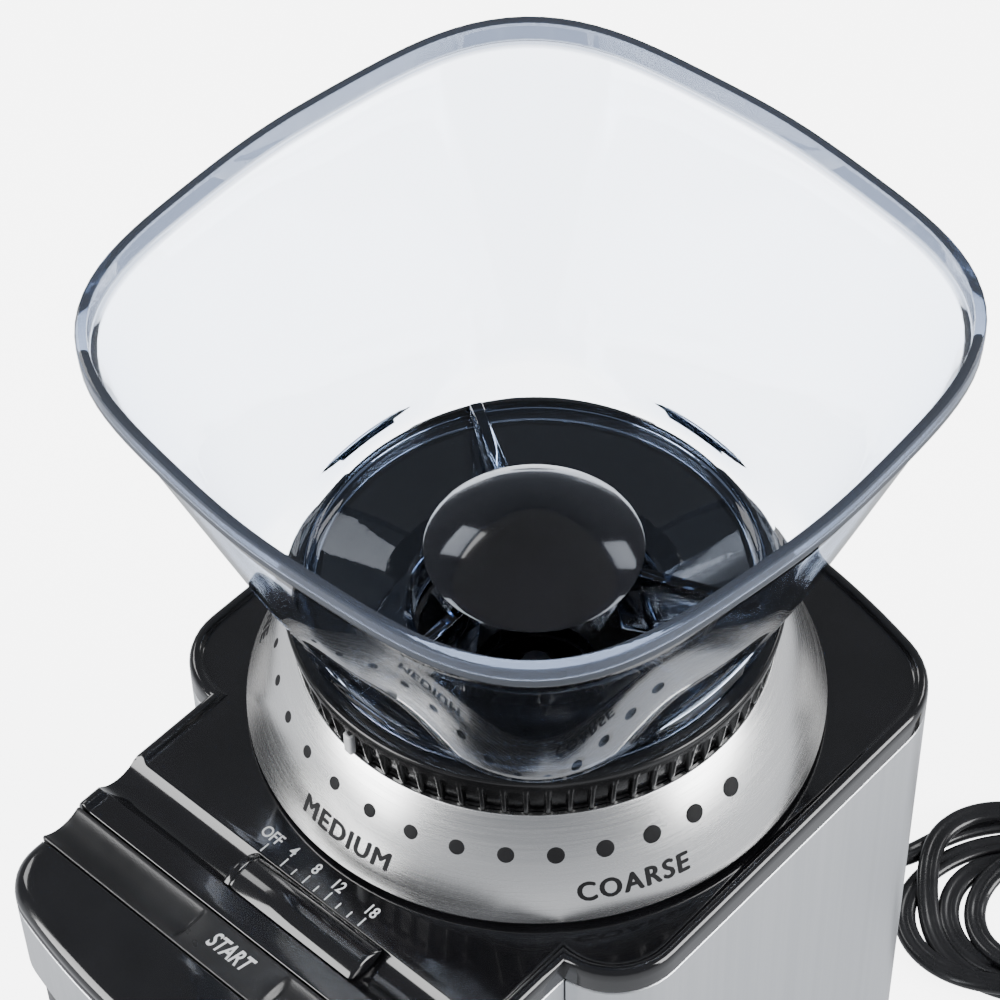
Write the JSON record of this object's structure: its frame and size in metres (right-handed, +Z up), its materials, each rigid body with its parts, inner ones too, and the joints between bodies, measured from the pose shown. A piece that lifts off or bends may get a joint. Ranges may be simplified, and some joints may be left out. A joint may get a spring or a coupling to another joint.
{
  "type": "burr coffee grinder",
  "caption": "Electric burr coffee grinder with clear rounded-square hopper, steel dial with knurled grind ring, amount slider, start bar and slide-out grounds container.",
  "frame": {"origin": "centre of the footprint at the soles of the feet, without the cord", "axes": "+Z up, the nose and its controls face -Y, +X is the right-hand side seen from the front"},
  "size_m": [0.1986, 0.2929, 0.2664],
  "materials": {
    "black_plastic": "moulded satin black",
    "gloss_black": "polished black",
    "brushed_steel": "fine brushed",
    "machined_steel": "machined",
    "clear_plastic": "clear with a faint cool tint",
    "smoked_plastic": "smoked clear",
    "rubber": "satin dark grey",
    "nylon": "natural moulded",
    "copper": "varnished winding",
    "brass": "turned",
    "circuit_board": "solder mask",
    "pointer_white": "moulded"
  },
  "bodies": {
    "body": {"base_plate": "black_plastic", "foot_front_left": "rubber", "foot_front_right": "rubber", "foot_rear_left": "rubber", "foot_rear_right": "rubber", "base_screw_1": "machined_steel", "base_screw_2": "machined_steel", "base_screw_3": "machined_steel", "base_screw_4": "machined_steel", "body_shell": "brushed_steel", "nose_shell": "brushed_steel", "chassis": "black_plastic", "nose_floor": "black_plastic", "top_cover": "gloss_black", "start_spring_left": "machined_steel", "start_spring_right": "machined_steel", "dial_base": "black_plastic", "dial_skirt": "brushed_steel", "burr_chamber": "black_plastic", "chute": "black_plastic", "lower_bearing": "brass", "upper_bearing": "brass", "gearbox_cover": "black_plastic", "motor_can": "machined_steel", "stator": "copper", "brush_left": "machined_steel", "brush_right": "machined_steel", "motor_mount": "rubber", "timer_board": "circuit_board", "slide_potentiometer": "machined_steel", "start_switch": "black_plastic", "interlock_switch": "black_plastic", "cord_gland": "rubber", "cord_run": "rubber", "cord_hank": "rubber", "cord_tail": "rubber", "plug": "rubber"},
    "grind_ring": {"adjust_ring": "black_plastic", "pointer_tab": "pointer_white"},
    "burr_holder": {"upper_burr_carrier": "black_plastic", "upper_burr": "machined_steel"},
    "bean_hopper": {"hopper": "clear_plastic", "bean_guard": "gloss_black"},
    "burr_rotor": {"lower_burr": "machined_steel", "sweeper_wheel": "black_plastic", "feed_cone": "machined_steel", "burr_shaft": "machined_steel", "drive_gear": "nylon"},
    "motor_rotor": {"armature": "copper", "cooling_fan": "nylon", "motor_pinion": "brass"},
    "cup_slider": {"slider_knob": "gloss_black"},
    "start_button": {"start_bar": "black_plastic"},
    "grounds_bin": {"grounds_container": "smoked_plastic", "container_lid": "black_plastic"}
  },
  "joints": [
    {"name": "grind_adjust", "type": "hinge", "parent": "body", "child": "grind_ring", "pos_m": [0, 0.0203, 0.183], "axis": [0, 0, 1], "range_deg": [-84, 94.5]},
    {"name": "burr_height", "type": "slide", "parent": "body", "child": "burr_holder", "axis": [0, 0, 1], "range_m": [-0.00059, 0.00066]},
    {"name": "hopper_lift", "type": "slide", "parent": "body", "child": "bean_hopper", "axis": [0, 0, 1], "range_m": [0, 0.1]},
    {"name": "motor_spin", "type": "hinge", "parent": "body", "child": "motor_rotor", "pos_m": [0, 0.0503, 0.06], "axis": [0, 0, 1], "continuous": true},
    {"name": "burr_spin", "type": "hinge", "parent": "body", "child": "burr_rotor", "pos_m": [0, 0.0203, 0.12], "axis": [0, 0, 1], "continuous": true},
    {"name": "cup_select", "type": "slide", "parent": "body", "child": "cup_slider", "axis": [1, 0, 0], "range_m": [0, 0.0272]},
    {"name": "start_press", "type": "slide", "parent": "body", "child": "start_button", "axis": [0, 0, -1], "range_m": [0, 0.0015], "stiffness_N_per_m": 800, "springref_m": -0.001, "deforming": ["start_spring_left", "start_spring_right"]},
    {"name": "container_slide", "type": "slide", "parent": "body", "child": "grounds_bin", "axis": [0, -1, 0], "range_m": [0, 0.1]}
  ],
  "couplings": [
    {"joint": "grind_adjust", "follows": "burr_height", "rad_per_m": 2500},
    {"joint": "burr_spin", "follows": "motor_spin", "ratio": -0.33333}
  ]
}
